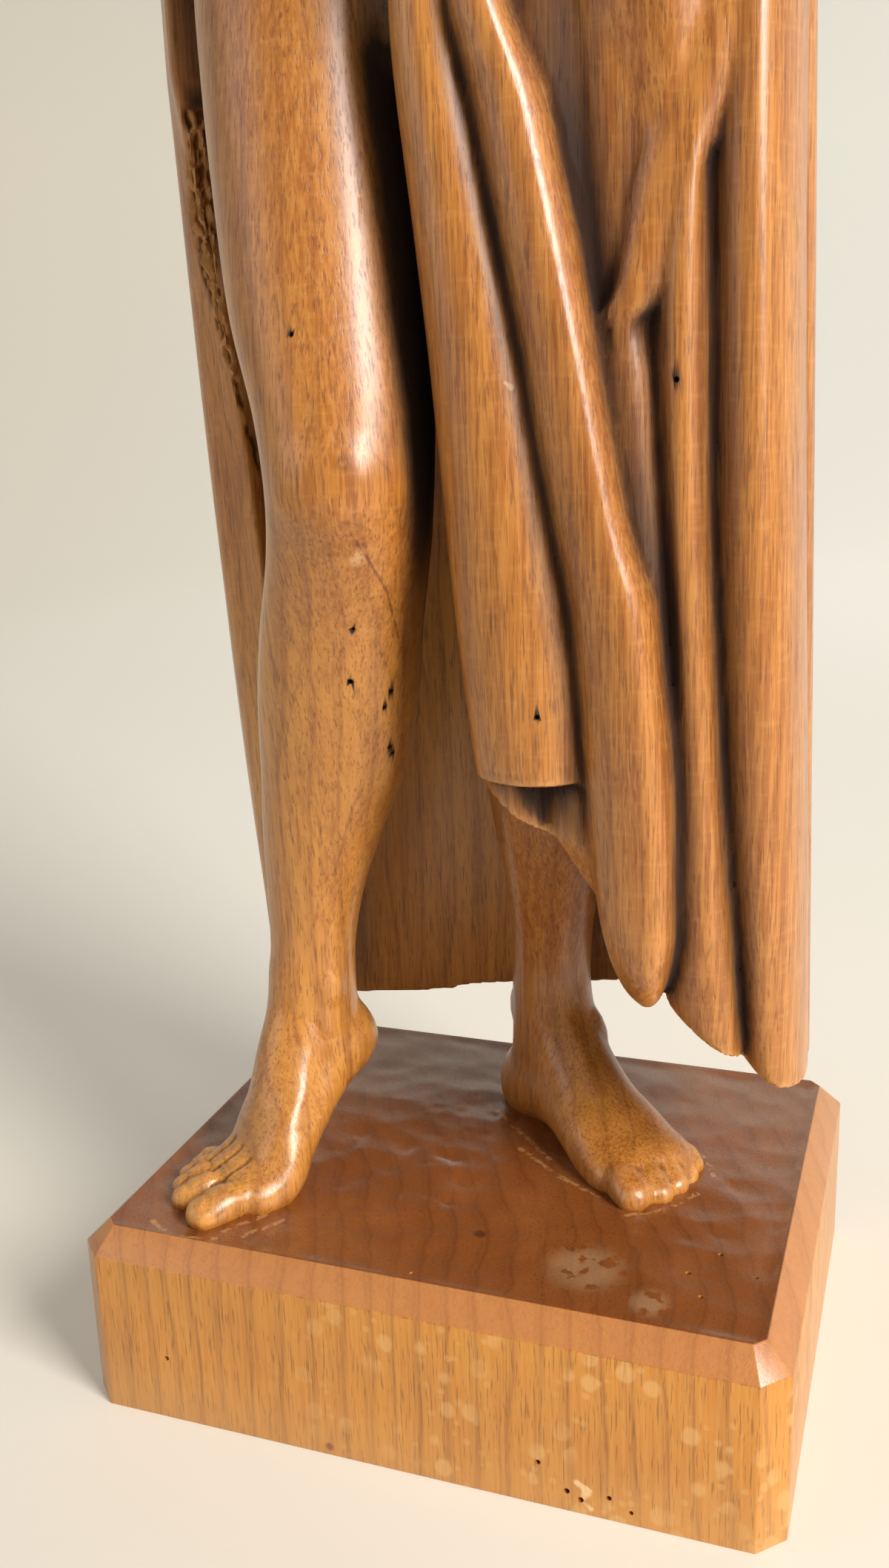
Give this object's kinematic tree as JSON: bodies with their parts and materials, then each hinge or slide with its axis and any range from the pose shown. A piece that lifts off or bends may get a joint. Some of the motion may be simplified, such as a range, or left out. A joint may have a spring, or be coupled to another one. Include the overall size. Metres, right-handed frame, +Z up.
{
  "type": "female nude sculpture",
  "caption": "Standing female nude with a draped cloth, carved with its chamfered plinth from one block of wood",
  "frame": {"origin": "middle of the plinth's flat underside", "axes": "+Z up along the figure, -Y the way the figure faces, +X to the figure's own left"},
  "size_m": [0.19, 0.148, 0.6811],
  "materials": {
    "oiled_wood": "oiled and hand-polished honey-brown hardwood, satin, with upright grain"
  },
  "bodies": {
    "root": {"nude_on_plinth": "oiled_wood"}
  },
  "joints": []
}
